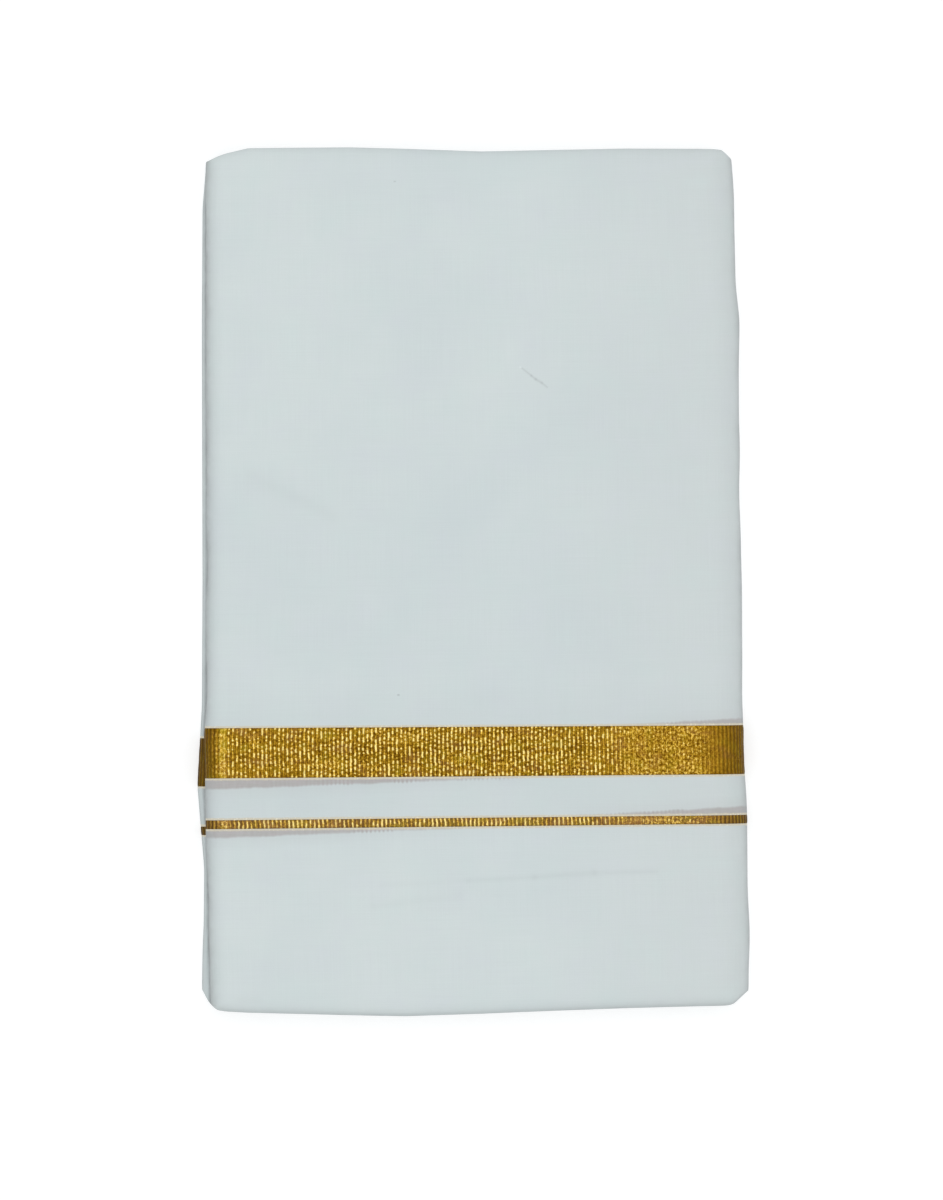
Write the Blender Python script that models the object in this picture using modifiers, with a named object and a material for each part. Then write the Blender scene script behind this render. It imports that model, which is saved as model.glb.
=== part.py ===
"""A folded cotton dhoti with a woven gold border, lying flat on its back.

The cloth is one length. Its width is folded in three, into a leaf of three plies, and the leaf is laid over
and over along its length into a packet. +Y runs up the packet, +X points to its last fold, and the packet
lies on Z = 0. The gold is woven into the cloth, so its solids lie flush with the leaf around them.
"""

import math
from collections import namedtuple

import bmesh
import bpy
from mathutils import Vector

MM = 0.001

# The stack of leaves, from the underside up.
PACKET_HEIGHT = 26.0 * MM
LEAF = 2.0 * MM  # three plies, loosely folded
SEAM = 0.3 * MM  # left between neighbouring pieces
LOWER_LEAVES = 5  # inside the lower left fold
UPPER_LEAVES = 4  # inside the upper left fold

# The folds at the two long sides.
LEFT_FOLD_REACH = 9.0 * MM  # how far in from its edge a left fold starts to round away
LAST_FOLD_REACH = 16.0 * MM
TUCK = 4.0 * MM  # how far a left fold runs back into the stack
UNDERLAP = 6.0 * MM  # how far the front leaf runs on under the packet
FOLD_EASE = 0.45 * MM  # how much looser the inner leaves lie in a fold than flat
FOLD_STEPS = 12

# The gold border, measured up the packet at its middle.
BAND_TOP = -70.0 * MM
BAND_WIDTH = 24.0 * MM
LINE_TOP = -114.0 * MM
LINE_WIDTH = 4.5 * MM
BORDER_RISE = 0.0057  # slope of the border across the front
BORDER_DRIFT = 5.0 * MM  # how much lower it lies at the lower left fold
ZARI = 0.6 * MM  # thickness of the gold
BED_STEP = 0.1 * MM  # width of the step at the edge of the gold's bed

# The packet is a little lower towards its two short ends.
CROWN = 0.03
END_DROP = 0.05
END_DROP_REACH = 15.0 * MM

# The ends of a leaf are folds too, so its outer face rounds down to them.
Rounding = namedtuple("Rounding", "inwards thickness")
END_ROUNDING = (
    Rounding(inwards=0.0 * MM, thickness=0.45),
    Rounding(inwards=0.3 * MM, thickness=0.72),
    Rounding(inwards=0.9 * MM, thickness=0.93),
    Rounding(inwards=2.0 * MM, thickness=1.0),
)

# The long sides seen from above, in millimetres: the left folds and the last fold, at heights up the packet.
Side = namedtuple("Side", "y upper_fold lower_fold last_fold")
SIDES = (
    Side(y=-198.0, upper_fold=-128.2, lower_fold=-131.4, last_fold=133.5),
    Side(y=-180.0, upper_fold=-128.3, lower_fold=-131.1, last_fold=133.7),
    Side(y=-165.0, upper_fold=-128.5, lower_fold=-130.5, last_fold=133.5),
    Side(y=-139.0, upper_fold=-128.8, lower_fold=-130.4, last_fold=133.0),
    Side(y=-120.0, upper_fold=-129.6, lower_fold=-132.0, last_fold=132.6),
    Side(y=-99.0, upper_fold=-130.9, lower_fold=-133.7, last_fold=132.1),
    Side(y=-76.0, upper_fold=-130.6, lower_fold=-132.4, last_fold=131.3),
    Side(y=-60.0, upper_fold=-129.4, lower_fold=-131.4, last_fold=130.8),
    Side(y=0.0, upper_fold=-129.0, lower_fold=-131.1, last_fold=129.9),
    Side(y=80.0, upper_fold=-129.0, lower_fold=-131.3, last_fold=128.9),
    Side(y=128.0, upper_fold=-129.1, lower_fold=-131.4, last_fold=128.7),
    Side(y=145.0, upper_fold=-129.1, lower_fold=-131.3, last_fold=127.4),
    Side(y=182.0, upper_fold=-129.2, lower_fold=-131.2, last_fold=126.3),
    Side(y=204.0, upper_fold=-129.0, lower_fold=-129.2, last_fold=125.0),
)

# The short ends seen from above, in millimetres: where the leaves end, at places across the packet.
End = namedtuple("End", "x top bottom")
ENDS = (
    End(x=-132.0, top=203.0, bottom=-198.0),
    End(x=-129.0, top=203.8, bottom=-202.6),
    End(x=-125.0, top=206.2, bottom=-206.6),
    End(x=-120.0, top=208.0, bottom=-208.2),
    End(x=-109.0, top=210.7, bottom=-209.1),
    End(x=-60.0, top=211.0, bottom=-210.3),
    End(x=-33.0, top=210.5, bottom=-211.0),
    End(x=4.0, top=209.0, bottom=-209.7),
    End(x=38.0, top=209.7, bottom=-208.3),
    End(x=74.0, top=210.6, bottom=-206.8),
    End(x=104.0, top=210.6, bottom=-206.0),
    End(x=117.0, top=210.1, bottom=-205.6),
    End(x=121.5, top=209.0, bottom=-205.3),
    End(x=125.0, top=204.4, bottom=-205.1),
    End(x=127.5, top=203.0, bottom=-204.2),
    End(x=133.5, top=203.0, bottom=-198.1),
)
LOW_END = -200.0 * MM  # heights at which the sides meet the short ends
HIGH_END = 205.0 * MM

# How far inside the outer leaf's ends each inner leaf ends, from the underside up, in millimetres. The first
# fill the lower left fold, the last fill the upper one, and the rest reach between the two.
LeafEnd = namedtuple("LeafEnd", "top bottom")
INNER_ENDS = (
    LeafEnd(top=0.9, bottom=1.6),
    LeafEnd(top=1.7, bottom=0.7),
    LeafEnd(top=0.6, bottom=1.2),
    LeafEnd(top=1.3, bottom=1.9),
    LeafEnd(top=0.8, bottom=0.9),
    LeafEnd(top=2.0, bottom=1.5),
    LeafEnd(top=1.1, bottom=0.6),
    LeafEnd(top=0.7, bottom=1.4),
    LeafEnd(top=1.6, bottom=1.0),
    LeafEnd(top=1.0, bottom=1.8),
    LeafEnd(top=1.4, bottom=0.8),
    LeafEnd(top=0.6, bottom=1.1),
)
LEAF_GROOVE = 0.9 * MM  # how deep the ends dip between two leaves
LEAF_SHOULDER = 0.25  # share of an inner leaf's thickness over which its end rounds away
SLOT_STEP = 0.05 * MM  # height over which the inner leaves step back from the two tucks

# Places up a leaf, in zones: 0 is its bottom end, 1 and 2 are the edges of the gold line, 3 and 4 those of
# the gold band, and 5 is its top end. Part zones lie in between.
LINE_EDGES = (1, 2)
BAND_EDGES = (3, 4)
TOP_ZONE = 5
LOWER_ROWS = (0.32, 0.5, 0.75)
UPPER_ROWS = (4.04, 4.24, 4.5, 4.7, 4.79, 4.88)
ACROSS = (0.04, 0.1, 0.25, 0.37, 0.5, 0.63, 0.76, 0.88, 0.96)  # shares of the way across the packet
END_DROP_ROWS = (6.0 * MM, END_DROP_REACH)

# Heights that follow from the sizes above.
WALL = LEAF + SEAM
SLOT_HEIGHT = 2 * WALL + SEAM  # of the two tucks, between the inner leaves of the left folds
INNER_LEAF = (PACKET_HEIGHT - 2 * WALL - SLOT_HEIGHT) / (LOWER_LEAVES + UPPER_LEAVES)
LOWER_FOLD_TOP = 2 * WALL + LOWER_LEAVES * INNER_LEAF
UPPER_FOLD_BOTTOM = LOWER_FOLD_TOP + SEAM
BED = (LEAF - ZARI - SEAM) / LEAF  # share of the leaf left under the gold
SHARP_ANGLE = math.radians(40)

# The cloth's finishes: base colour, roughness and metallic value.
Finish = namedtuple("Finish", "colour roughness metallic")
COTTON = Finish(colour=(0.62, 0.69, 0.70, 1.0), roughness=0.9, metallic=0.0)
INNER_COTTON = Finish(colour=(0.56, 0.62, 0.63, 1.0), roughness=0.92, metallic=0.0)
GOLD = Finish(colour=(0.55, 0.31, 0.04, 1.0), roughness=0.4, metallic=0.9)

# A place on the way round the packet: the left fold that it is measured from, its share of the way from there
# to the last fold, its shift from that point, its height, the way its outer face points, and how much lower
# the border lies there.
Station = namedtuple("Station", "fold share shift z nx nz drift")

# A place up a leaf: its zone, its offset from there, and the share of the leaf's thickness that it has.
Row = namedtuple("Row", "zone offset thickness")


def clear_scene():
    for thing in list(bpy.data.objects):
        bpy.data.objects.remove(thing, do_unlink=True)


def look_up(table, key, value, at):
    """The value column of a table in millimetres, between its rows, where its key column is at. In metres."""
    rows = [(getattr(row, key) * MM, getattr(row, value) * MM) for row in table]
    for (start, first), (end, last) in zip(rows, rows[1:]):
        if at <= end:
            share = max(at - start, 0) / (end - start)
            return first + (last - first) * share
    return rows[-1][1]


def across_packet(station, y):
    """The station's X at a height up the packet."""
    left = look_up(SIDES, "y", station.fold, y)
    right = look_up(SIDES, "y", "last_fold", y)
    return left + (right - left) * station.share + station.shift


def up_packet(station, row):
    """(the row's Y at a station, what the stack's height is multiplied by there)"""
    bottom = look_up(ENDS, "x", "bottom", across_packet(station, LOW_END))
    top = look_up(ENDS, "x", "top", across_packet(station, HIGH_END))
    border = BORDER_RISE * across_packet(station, BAND_TOP) - station.drift
    zones = (
        bottom,
        LINE_TOP - LINE_WIDTH + border,
        LINE_TOP + border,
        BAND_TOP - BAND_WIDTH + border,
        BAND_TOP + border,
        top,
    )
    below = min(int(row.zone), TOP_ZONE - 1)
    y = zones[below] + (zones[below + 1] - zones[below]) * (row.zone - below) + row.offset
    along = (2 * y - top - bottom) / (top - bottom)
    to_end = min(y - bottom, top - y, END_DROP_REACH) / END_DROP_REACH
    return y, 1 - CROWN * along**2 - END_DROP * (1 - to_end) ** 2


def leaf_point(station, row, depth):
    """A point of a leaf, so deep under its outer face."""
    y, swell = up_packet(station, row)
    x = across_packet(station, y) - station.nx * depth
    return Vector((x, y, station.z * swell - station.nz * depth))


def fold_arc(fold, share, reach, low, high, drift, rising):
    """The stations round half an upright ellipse: a left fold at share 0, the last fold at share 1."""
    outwards = 2 * share - 1
    half = (high - low) / 2
    stations = []
    for step in range(FOLD_STEPS + 1):
        turn = math.pi * (step / FOLD_STEPS - 0.5) * (1 if rising else -1)
        flat, upright = math.cos(turn), math.sin(turn)
        slant = math.hypot(flat / reach, upright / half)
        stations.append(
            Station(
                fold=fold,
                share=share,
                shift=outwards * reach * (flat - 1),
                z=low + half * (1 + upright),
                nx=outwards * flat / reach / slant,
                nz=upright / half / slant,
                drift=drift,
            )
        )
    return stations


def front_stations():
    """From the tuck under the upper left fold, over the front and round the last fold to the underside."""
    tuck = Station("upper_fold", 0, LEFT_FOLD_REACH + TUCK, UPPER_FOLD_BOTTOM, 0, -1, 0)
    left = fold_arc("upper_fold", 0, LEFT_FOLD_REACH, UPPER_FOLD_BOTTOM, PACKET_HEIGHT, 0, True)
    front = []
    for share in ACROSS:
        shift = LEFT_FOLD_REACH * (1 - share) - LAST_FOLD_REACH * share
        front.append(Station("upper_fold", share, shift, PACKET_HEIGHT, 0, 1, 0))
    last = fold_arc("upper_fold", 1, LAST_FOLD_REACH, 0, PACKET_HEIGHT, 0, False)
    under = Station("upper_fold", 1, -LAST_FOLD_REACH - UNDERLAP, 0, 0, -1, 0)
    return [tuck, *left, *front, *last, under]


def back_stations():
    """From the end of the front leaf's underlap, under the packet, to the tuck over the lower left fold."""
    start = -LAST_FOLD_REACH - UNDERLAP - SEAM
    under = []
    for share in (1, *reversed(ACROSS)):
        shift = LEFT_FOLD_REACH * (1 - share) + start * share
        under.append(Station("lower_fold", share, shift, 0, 0, -1, BORDER_DRIFT * (1 - share)))
    left = fold_arc("lower_fold", 0, LEFT_FOLD_REACH, 0, LOWER_FOLD_TOP, BORDER_DRIFT, True)
    tuck = Station("lower_fold", 0, LEFT_FOLD_REACH + TUCK, LOWER_FOLD_TOP, 0, 1, BORDER_DRIFT)
    return [*under, *left, tuck]


def leaf_rows():
    """The rows of a leaf's grid, from its bottom end to its top end, with a bed for each stripe of gold."""
    rows = [Row(0, end.inwards, end.thickness) for end in END_ROUNDING]
    rows += [Row(0, inwards, 1) for inwards in END_DROP_ROWS]
    rows += [Row(zone, 0, 1) for zone in LOWER_ROWS]
    for low, high in (LINE_EDGES, BAND_EDGES):
        rows += [
            Row(low, -SEAM / 2, 1),
            Row(low, -SEAM / 2 + BED_STEP, BED),
            Row(high, SEAM / 2 - BED_STEP, BED),
            Row(high, SEAM / 2, 1),
        ]
    rows += [Row(zone, 0, 1) for zone in UPPER_ROWS]
    rows += [Row(TOP_ZONE, -inwards, 1) for inwards in reversed(END_DROP_ROWS)]
    rows += [Row(TOP_ZONE, -end.inwards, end.thickness) for end in reversed(END_ROUNDING)]
    return rows


def stripe_rows(edges):
    low, high = edges
    return [Row(low, SEAM / 2, 1), Row(high, -SEAM / 2, 1)]


def stack_rows():
    """The rows of the inner leaves' long sides."""
    rows = [Row(0, inwards, 1) for inwards in END_DROP_ROWS]
    rows += [Row(zone, 0, 1) for zone in (*LOWER_ROWS, *LINE_EDGES, *BAND_EDGES, *UPPER_ROWS)]
    rows += [Row(TOP_ZONE, -inwards, 1) for inwards in reversed(END_DROP_ROWS)]
    return rows


def add_object(name, mesh, collection):
    mesh.shade_smooth()
    mesh.set_sharp_from_angle(angle=SHARP_ANGLE)
    thing = bpy.data.objects.new(name, mesh)
    collection.objects.link(thing)
    return thing


def cloth_wall(name, stations, rows, depth, thickness, collection):
    """A wall of cloth on a grid of stations and rows. The grid is its inner face, depth under the outer."""
    bm = bmesh.new()
    last_station, last_row = len(stations) - 1, len(rows) - 1
    bmesh.ops.create_grid(bm, x_segments=last_station, y_segments=last_row, size=1)
    weights = bm.verts.layers.deform.verify()
    for vert in bm.verts:
        station = stations[round((vert.co.x + 1) / 2 * last_station)]
        row = rows[round((vert.co.y + 1) / 2 * last_row)]
        vert.co = leaf_point(station, row, depth)
        vert[weights][0] = row.thickness
    mesh = bpy.data.meshes.new(name)
    bm.to_mesh(mesh)
    bm.free()
    wall = add_object(name, mesh, collection)
    wall.vertex_groups.new(name="thickness")
    solid = wall.modifiers.new("Cloth", "SOLIDIFY")
    solid.thickness = thickness
    solid.offset = 1
    solid.vertex_group = "thickness"
    return wall


# One height in the stack of inner leaves: the left fold that it is measured from, its height as a part that
# swells with the packet and a part that doesn't, its left and right shifts, how much lower the border lies,
# and how far its two ends lie inside the packet's.
Level = namedtuple("Level", "fold z lift left right drift top bottom")


def fold_shift(reach, low, high, z):
    """How far the inside of a fold lies in from its outer edge, at a height between its two walls."""
    half = (high - low) / 2
    across = 1 - ((z - low - half) / (half - WALL)) ** 2
    return reach - (reach - WALL - FOLD_EASE) * math.sqrt(max(across, 0))


def leaf_levels(ends, fold, floor, ceiling, slot, drift):
    """The levels of some neighbouring inner leaves, each with a groove under it, and a last groove on top.

    floor and ceiling are heights, each as its two parts. Where slot is 0, the leaves fill a left fold.
    """
    places = []
    for leaf, end in enumerate(ends):
        places.append((leaf, end, LEAF_GROOVE))
        places.append((leaf + LEAF_SHOULDER, end, 0))
        places.append((leaf + 1 - LEAF_SHOULDER, end, 0))
    places.append((len(ends), ends[-1], LEAF_GROOVE))
    levels = []
    for place, end, groove in places:
        share = place / len(ends)
        z = floor[0] + (ceiling[0] - floor[0]) * share
        lift = floor[1] + (ceiling[1] - floor[1]) * share
        levels.append(
            Level(
                fold=fold,
                z=z,
                lift=lift,
                left=slot or fold_shift(LEFT_FOLD_REACH, floor[0], ceiling[0], z + lift),
                right=-fold_shift(LAST_FOLD_REACH, 0, PACKET_HEIGHT, z + lift),
                drift=drift,
                top=end.top * MM + groove,
                bottom=end.bottom * MM + groove,
            )
        )
    return levels


def stack_levels():
    """All levels of the inner leaves, stepped back round the tucks of the two left folds."""
    slot = LEFT_FOLD_REACH + TUCK + 2 * SEAM
    slot_floor = (LOWER_FOLD_TOP, SLOT_STEP - WALL)
    slot_ceiling = (UPPER_FOLD_BOTTOM, WALL - SLOT_STEP)
    lower_ends = INNER_ENDS[:LOWER_LEAVES]
    middle_ends = INNER_ENDS[LOWER_LEAVES:-UPPER_LEAVES]
    upper_ends = INNER_ENDS[-UPPER_LEAVES:]
    return [
        *leaf_levels(lower_ends, "lower_fold", (0, WALL), (LOWER_FOLD_TOP, -WALL), 0, BORDER_DRIFT),
        *leaf_levels(middle_ends, "upper_fold", slot_floor, slot_ceiling, slot, 0),
        *leaf_levels(upper_ends, "upper_fold", (UPPER_FOLD_BOTTOM, WALL), (PACKET_HEIGHT, -WALL), 0, 0),
    ]


def level_loop(level):
    """The outline of one level, anticlockwise from its bottom left corner."""
    left = Station(level.fold, 0, level.left, level.z, 0, 0, level.drift)
    right = Station(level.fold, 1, level.right, level.z, 0, 0, 0)
    between = []
    for share in ACROSS:
        shift = LEFT_FOLD_REACH * (1 - share) - LAST_FOLD_REACH * share
        between.append(Station(level.fold, share, shift, level.z, 0, 0, 0))
    columns = [left, *between, right]
    rows = stack_rows()
    places = [(station, Row(0, level.bottom, 1)) for station in columns]
    places += [(right, row) for row in rows]
    places += [(station, Row(TOP_ZONE, -level.top, 1)) for station in reversed(columns)]
    places += [(left, row) for row in reversed(rows)]
    lift = Vector((0, 0, level.lift))
    return [leaf_point(station, row, 0) + lift for station, row in places]


def level_cap(bm, loop):
    """Closes a level with strips from side to side, so that it follows the packet's crown."""
    columns, rows = len(ACROSS) + 2, len(stack_rows())
    right = loop[columns : columns + rows]
    left = list(reversed(loop[2 * columns + rows :]))
    bm.faces.new([*loop[:columns], right[0], left[0]])
    bm.faces.new([left[-1], right[-1], *loop[columns + rows : 2 * columns + rows]])
    for row in range(rows - 1):
        bm.faces.new((left[row], right[row], right[row + 1], left[row + 1]))


def stacked_leaves(name, collection):
    """The hidden leaves in one solid: a loft through their levels, from the underside up."""
    bm = bmesh.new()
    loops = [[bm.verts.new(point) for point in level_loop(level)] for level in stack_levels()]
    for below, above in zip(loops, loops[1:]):
        for corner in range(len(below)):
            following = (corner + 1) % len(below)
            bm.faces.new((below[corner], below[following], above[following], above[corner]))
    level_cap(bm, loops[0])
    level_cap(bm, loops[-1])
    bmesh.ops.recalc_face_normals(bm, faces=bm.faces)
    mesh = bpy.data.meshes.new(name)
    bm.to_mesh(mesh)
    bm.free()
    return add_object(name, mesh, collection)


def set_finish(thing, finish):
    material = bpy.data.materials.new(thing.name)
    material.use_nodes = True
    shader = material.node_tree.nodes["Principled BSDF"]
    shader.inputs["Base Color"].default_value = finish.colour
    shader.inputs["Roughness"].default_value = finish.roughness
    shader.inputs["Metallic"].default_value = finish.metallic
    material.diffuse_color = finish.colour
    thing.data.materials.append(material)


def main():
    clear_scene()
    packet = bpy.data.collections.new("folded_dhoti")
    bpy.context.scene.collection.children.link(packet)
    for side, stations in (("front", front_stations()), ("back", back_stations())):
        leaf = cloth_wall(f"{side}_leaf", stations, leaf_rows(), LEAF, LEAF, packet)
        set_finish(leaf, COTTON)
        for stripe, edges in (("zari_band", BAND_EDGES), ("zari_line", LINE_EDGES)):
            gold = cloth_wall(f"{side}_{stripe}", stations, stripe_rows(edges), ZARI, ZARI, packet)
            set_finish(gold, GOLD)
    set_finish(stacked_leaves("inner_leaves", packet), INNER_COTTON)


main()
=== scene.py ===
import math
from collections import namedtuple

import bmesh
import bpy
import numpy as np
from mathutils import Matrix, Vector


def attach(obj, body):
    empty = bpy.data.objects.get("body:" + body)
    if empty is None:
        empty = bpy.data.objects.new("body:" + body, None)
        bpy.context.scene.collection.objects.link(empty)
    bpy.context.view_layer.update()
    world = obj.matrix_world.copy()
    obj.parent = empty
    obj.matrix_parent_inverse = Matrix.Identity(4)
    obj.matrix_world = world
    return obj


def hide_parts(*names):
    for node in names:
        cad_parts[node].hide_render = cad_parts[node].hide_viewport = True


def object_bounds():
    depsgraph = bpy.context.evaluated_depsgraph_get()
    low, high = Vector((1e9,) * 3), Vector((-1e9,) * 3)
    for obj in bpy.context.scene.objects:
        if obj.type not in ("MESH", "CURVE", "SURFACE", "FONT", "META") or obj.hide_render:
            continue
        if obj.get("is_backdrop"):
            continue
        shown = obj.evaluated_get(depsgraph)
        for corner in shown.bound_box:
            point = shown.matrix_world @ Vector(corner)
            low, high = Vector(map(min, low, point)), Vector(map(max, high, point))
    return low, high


mm = 0.001  # everything is laid out in millimetres, and Blender's unit is the metre

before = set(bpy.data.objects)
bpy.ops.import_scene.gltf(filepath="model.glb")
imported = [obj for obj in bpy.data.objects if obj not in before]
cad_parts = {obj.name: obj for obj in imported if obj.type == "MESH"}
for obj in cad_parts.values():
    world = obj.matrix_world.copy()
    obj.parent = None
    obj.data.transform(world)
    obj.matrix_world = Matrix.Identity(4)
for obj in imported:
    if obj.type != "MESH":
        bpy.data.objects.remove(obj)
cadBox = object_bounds()
print("frame loaded:", ", ".join(sorted(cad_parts)))

# the folded packet's form
packet = dict(
    height=26.0,
    leaf=2.0,  # three plies, as thick as the front and back leaves are
    lowerFoldTop=13.767,
    upperFoldFoot=14.067,
    leftReach=9.0,  # how far in from its edge a left fold starts to round away
    lastReach=16.0,
    tuck=4.0,  # how far a left fold runs back into the stack
    underlap=6.0,  # how far the front leaf runs on under the packet
    crown=0.03,  # how much lower it is at its short ends, as shares of its height
    endDrop=0.05,
    endDropReach=15.0,
    lowEnd=-200.0,  # where the long sides are read for the short ends
    highEnd=205.0,
    flatHeight=420.0,  # how tall a leaf is, laid flat
)

# where the long sides lie, seen from above, at places up the packet
longSides = dict(
    softness=3.0,
    at=(-198, -180, -165, -139, -120, -99, -76, -60, 0, 80, 128, 145, 182, 204),
    upperFold=(
        -127.4, -128.0, -128.5, -128.8, -129.5, -130.4, -130.6,
        -129.7, -129.1, -129.3, -129.6, -129.6, -129.7, -129.5,
    ),
    lowerFold=(
        -131.9, -131.6, -131.0, -130.8, -132.4, -134.1, -132.8,
        -131.9, -131.6, -131.8, -131.9, -131.8, -131.6, -129.8,
    ),
    lastFold=(
        134.1, 134.3, 134.0, 133.4, 132.9, 132.4, 131.7,
        131.2, 130.4, 129.3, 129.1, 127.7, 126.6, 125.6,
    ),
)

# where the short ends lie, at places across the packet
shortEnds = dict(
    softness=0.8,
    at=(-132, -129, -125, -120, -109, -60, -33, 4, 38, 74, 104, 117, 121.5, 125, 127.5, 134.1),
    top=(
        203.2, 204.6, 206.4, 208.0, 210.6, 211.0, 210.3, 209.0,
        209.7, 210.4, 210.3, 210.2, 209.9, 206.6, 204.2, 204.0,
    ),
    bottom=(
        -198.4, -204.0, -207.8, -208.4, -209.0, -210.2, -210.7, -209.5,
        -208.1, -206.8, -206.0, -205.7, -205.6, -205.4, -204.6, -198.6,
    ),
)

# the woven border, measured up the packet at its middle
border = dict(
    bandTop=-70.15,
    bandWidth=24.15,
    lineTop=-114.3,
    lineWidth=4.3,
    rise=0.0057,  # its slope across the front
    fan=0.0001,  # how much its edges draw together along the way, for each millimetre
    drift=5.0,  # how much lower it lies at the lower left fold
    pinch=0.008,  # and how much narrower it is there, for each millimetre lower
)

# its two stripes of gold: the zones of their edges up a leaf (0 is its lower end and 5 its upper one),
# how wide they are and how far below the band's top they start
stripes = [
    dict(name="Band", low=3, high=4, width=border["bandWidth"], below=0.0),
    dict(name="Line", low=1, high=2, width=border["lineWidth"], below=border["bandTop"] - border["lineTop"]),
]

# one place on the way round the packet: its share of the way from the left folds to the last one, its
# shift from there, its height, the way its upper face points, how much cloth is over and under that
# line, how far it follows the lower left fold, and how much lower the border lies there
Station = namedtuple("Station", "share shift z nx nz over under lower drift")

# one place round a leaf, from end to end on its upper face and back on its lower one: its zone, its
# offset from there, the side of the leaf it is on (1 upper, -1 lower) and how far it is sunk
Row = namedtuple("Row", "zone offset side sink")

# a leaf as laid out: its points in millimetres, its threads' own coordinates, how much painted shade and soil
# greys it and how far it is turned from the flat, each as a station by row array
Leaf = namedtuple("Leaf", "points lines wear turned")

# how much the cloth is greyed, from 0 to 1: painted shade along the folds, in the crevice under the upper
# left fold and at the rounded ends, with some soil along the fold edges, and a faint even grey on the hidden
# leaves
shadeAndSoilAt = dict(
    bottom=0.60,  # at the lower ends of the outer leaves, and at the upper ones
    top=0.25,
    reach=1.7,  # how soon that fades, in millimetres
    left=0.85,  # all round the left folds, and round the last one
    last=0.25,
    rim=0.72,  # on a fold's crest
    lowerHalf=0.25,  # the share of this that a fold's lower half has
    lowerFold=0.22,  # on the lower left fold, in the upper one's shade
    crevice=1.0,  # where that fold runs in under the upper one
    shadeFoot=7.5,  # the height that this shade starts at
    creviceFrom=1.4,  # how far out from the upper fold the crevice starts, and how soon it is darkest
    creviceFade=1.2,
    hidden=0.12,  # on the hidden leaves
)


def columnOf(table, name, place):
    # a table's column between its rows, with the corners at the rows rounded off
    steps = table["softness"] * np.linspace(-1, 1, 7)
    return np.mean([np.interp(place + step, table["at"], table[name]) for step in steps], axis=0)


def acrossPacket(path, y):
    upper = columnOf(longSides, "upperFold", y)
    lower = columnOf(longSides, "lowerFold", y)
    last = columnOf(longSides, "lastFold", y)
    left = upper + (lower - upper) * path.lower
    return left + (last - left) * path.share + path.shift


def ripple(x, y, seed, shortest, longest, count=20):
    # long soft waves of about unit height, the same ones each time
    rng = np.random.default_rng(seed)
    total = 0
    for _ in range(count):
        length = rng.uniform(shortest, longest)
        heading = rng.uniform(0, math.pi)
        phase = rng.uniform(0, 2 * math.pi)
        total = total + np.sin((x * math.cos(heading) + y * math.sin(heading)) * 2 * math.pi / length + phase)
    return total / math.sqrt(count / 2)


def drawnIn(across, drift):
    # how much narrower the border is at a place than in the middle
    return 1 - border["fan"] * across - border["pinch"] * drift


def layOut(stations, rows, relief=None):
    # a leaf without its threads' coordinates yet, and with no relief for the hidden ones
    path = Station(*[np.array(column, float)[:, None] for column in zip(*stations)])
    row = Row(*[np.array(column, float)[None, :] for column in zip(*rows)])
    bottom = columnOf(shortEnds, "bottom", acrossPacket(path, packet["lowEnd"]))
    top = columnOf(shortEnds, "top", acrossPacket(path, packet["highEnd"]))
    across = acrossPacket(path, border["bandTop"])
    bandTop = border["bandTop"] + border["rise"] * across - path.drift
    toLine = border["bandTop"] - border["lineTop"]
    depths = (toLine + border["lineWidth"], toLine, border["bandWidth"], 0)
    edges = [bandTop - depth * drawnIn(across, path.drift) for depth in depths]
    zones = np.concatenate([bottom, *edges, top], axis=1)
    below = np.minimum(row.zone.astype(int), 4)[0]
    y = zones[:, below] + (zones[:, below + 1] - zones[:, below]) * (row.zone - below) + row.offset
    x = acrossPacket(path, y)
    along = (2 * y - top - bottom) / (top - bottom)
    toEnd = np.clip(np.minimum(y - bottom, top - y), 0, packet["endDropReach"]) / packet["endDropReach"]
    swell = 1 - packet["crown"] * along**2 - packet["endDrop"] * (1 - toEnd) ** 2
    out = (path.over - path.under) / 2 + row.side * (path.over + path.under) / 2 - row.sink
    z = path.z * swell
    if relief:
        out = out + relief(x, y, path, np.minimum(y - bottom, top - y)) * (row.side + 1) / 2
    points = np.stack([x + path.nx * out, y + 0 * x, z + path.nz * out], axis=2)
    turned = np.abs(path.nx) + 0 * y
    wear = shadeAndSoilOf(path, x, y, bottom, top, turned) if relief else np.full(y.shape, shadeAndSoilAt["hidden"])
    return Leaf(points, None, wear, turned)


def shadeAndSoilOf(path, x, y, bottom, top, turned):
    # the painted shade and soil on an outer leaf at each of its points
    soft = shadeAndSoilAt["left"] * (path.lower == 0) * (1 - path.share) + shadeAndSoilAt["last"] * path.share
    folds = np.maximum(turned**2 * soft, turned**6 * shadeAndSoilAt["rim"])
    folds = folds * np.clip(1 + 1.6 * path.nz, shadeAndSoilAt["lowerHalf"], 1)
    # the painted shade on the lower left fold is darkest where it runs in under the upper one
    shaded = (path.lower == 1) * np.clip((path.z - shadeAndSoilAt["shadeFoot"]) / 2, 0, 1)
    inwards = x - columnOf(longSides, "upperFold", y) + shadeAndSoilAt["creviceFrom"]
    beneath = np.clip(inwards / shadeAndSoilAt["creviceFade"], 0, 1)
    shade = shadeAndSoilAt["lowerFold"] + (shadeAndSoilAt["crevice"] - shadeAndSoilAt["lowerFold"]) * beneath
    folds = np.maximum(folds, shade * shaded)
    low = shadeAndSoilAt["bottom"] * np.exp(-np.clip(y - bottom, 0, None) / shadeAndSoilAt["reach"])
    high = shadeAndSoilAt["top"] * np.exp(-np.clip(top - y, 0, None) / shadeAndSoilAt["reach"])
    return np.maximum(folds, np.maximum(low, high))


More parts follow.
